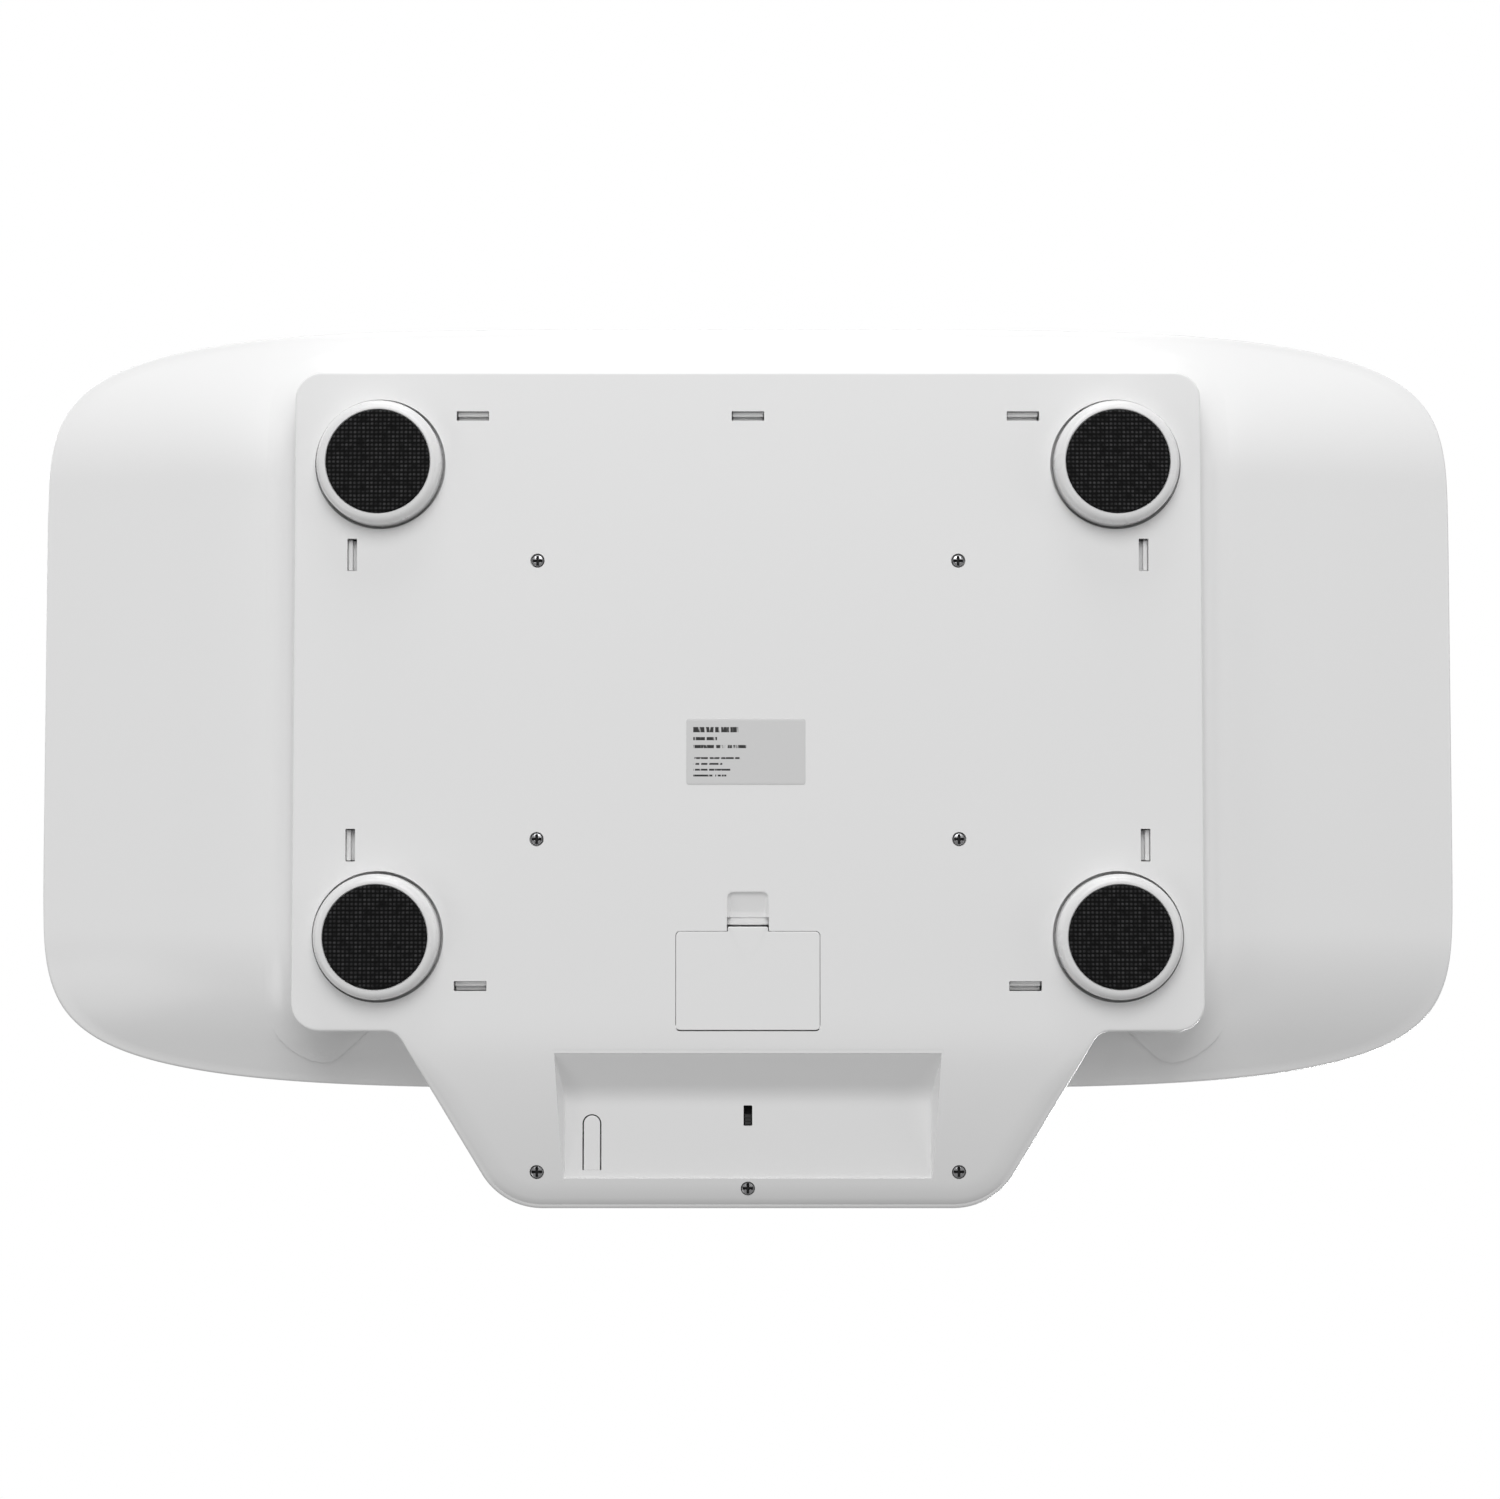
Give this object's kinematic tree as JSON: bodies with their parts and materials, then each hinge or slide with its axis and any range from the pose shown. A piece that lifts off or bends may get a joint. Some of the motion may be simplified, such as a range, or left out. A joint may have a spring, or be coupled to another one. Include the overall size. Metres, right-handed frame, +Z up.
{
  "type": "digital baby scale",
  "caption": "Long curved weighing tray on a flat base with weighing feet, battery door and a sloping console with display and keys.",
  "frame": {"origin": "under the middle of the overall box, on the surface that the feet stand on", "axes": "+X to the right along the tray and +Y to the back, for someone reading the display; +Z up"},
  "size_m": [0.55, 0.342, 0.0551],
  "materials": {
    "white_abs": "fine satin-gloss moulded ABS",
    "foot_white": "smooth moulded ABS",
    "pad_rubber": "knit-textured non-slip pad",
    "spring_steel": "stamped",
    "holder_plastic": "matt",
    "cell_sleeve": "printed sleeve, plain",
    "plated_steel": "plated",
    "board_green": "solder mask",
    "lcd": "reflective display glass",
    "lens": "clear, polished",
    "strip_rubber": "matt",
    "key_grey": "satin",
    "black_plastic": "matt",
    "wire_red": "smooth sleeve",
    "wire_black": "smooth sleeve",
    "label_grey": "satin sticker"
  },
  "bodies": {
    "housing": {"weighing_tray": "white_abs", "upper_housing": "white_abs", "base_cover": "white_abs", "battery_1": "cell_sleeve", "battery_2": "cell_sleeve", "battery_3": "cell_sleeve", "battery_springs": "plated_steel", "contact_plates": "plated_steel", "foot_cap_front_right": "foot_white", "foot_cap_front_left": "foot_white", "foot_cap_back_right": "foot_white", "foot_cap_back_left": "foot_white", "foot_pad_front_right": "pad_rubber", "foot_pad_front_left": "pad_rubber", "foot_pad_back_right": "pad_rubber", "foot_pad_back_left": "pad_rubber", "load_cell_front_right": "spring_steel", "load_cell_front_left": "spring_steel", "load_cell_back_right": "spring_steel", "load_cell_back_left": "spring_steel", "cell_holder_front_right": "holder_plastic", "cell_holder_front_left": "holder_plastic", "cell_holder_back_right": "holder_plastic", "cell_holder_back_left": "holder_plastic", "main_board": "board_green", "lcd_glass": "lcd", "lcd_frame": "holder_plastic", "display_lens": "lens", "contact_strips": "strip_rubber", "key_switches": "black_plastic", "switch_board": "board_green", "unit_switch_body": "black_plastic", "reset_switch": "black_plastic", "plate_screws": "plated_steel", "console_screws": "plated_steel", "board_screws": "plated_steel", "holder_screws": "plated_steel", "tray_screws": "plated_steel", "cell_wires": "wire_red", "battery_wires": "wire_black", "rating_label": "label_grey"},
    "power_key": {"power_key": "key_grey"},
    "tare_key": {"tare_key": "key_grey"},
    "hold_key": {"hold_key": "key_grey"},
    "unit_switch": {"unit_switch_knob": "black_plastic"},
    "press_tongue": {"press_tongue": "white_abs"},
    "battery_door": {"battery_door": "white_abs"}
  },
  "joints": [
    {"name": "power_key_press", "type": "slide", "parent": "housing", "child": "power_key", "axis": [0, 0.2756, -0.9613], "range_m": [0, 0.0006], "stiffness_N_per_m": 800},
    {"name": "tare_key_press", "type": "slide", "parent": "housing", "child": "tare_key", "axis": [0, 0.2756, -0.9613], "range_m": [0, 0.0006], "stiffness_N_per_m": 800},
    {"name": "hold_key_press", "type": "slide", "parent": "housing", "child": "hold_key", "axis": [0, 0.2756, -0.9613], "range_m": [0, 0.0006], "stiffness_N_per_m": 800},
    {"name": "unit_switch_slide", "type": "slide", "parent": "housing", "child": "unit_switch", "axis": [0, 1, 0], "range_m": [0, 0.0022]},
    {"name": "tongue_bend", "type": "hinge", "parent": "housing", "child": "press_tongue", "pos_m": [0.0592, -0.156, 0.0242], "axis": [1, 0, 0], "range_deg": [0, 3.5], "stiffness_Nm_per_rad": 1.6},
    {"name": "battery_door_hinge", "type": "hinge", "parent": "housing", "child": "battery_door", "pos_m": [0, -0.1015, 0.01], "axis": [-1, 0, 0], "range_deg": [0, 70]}
  ]
}
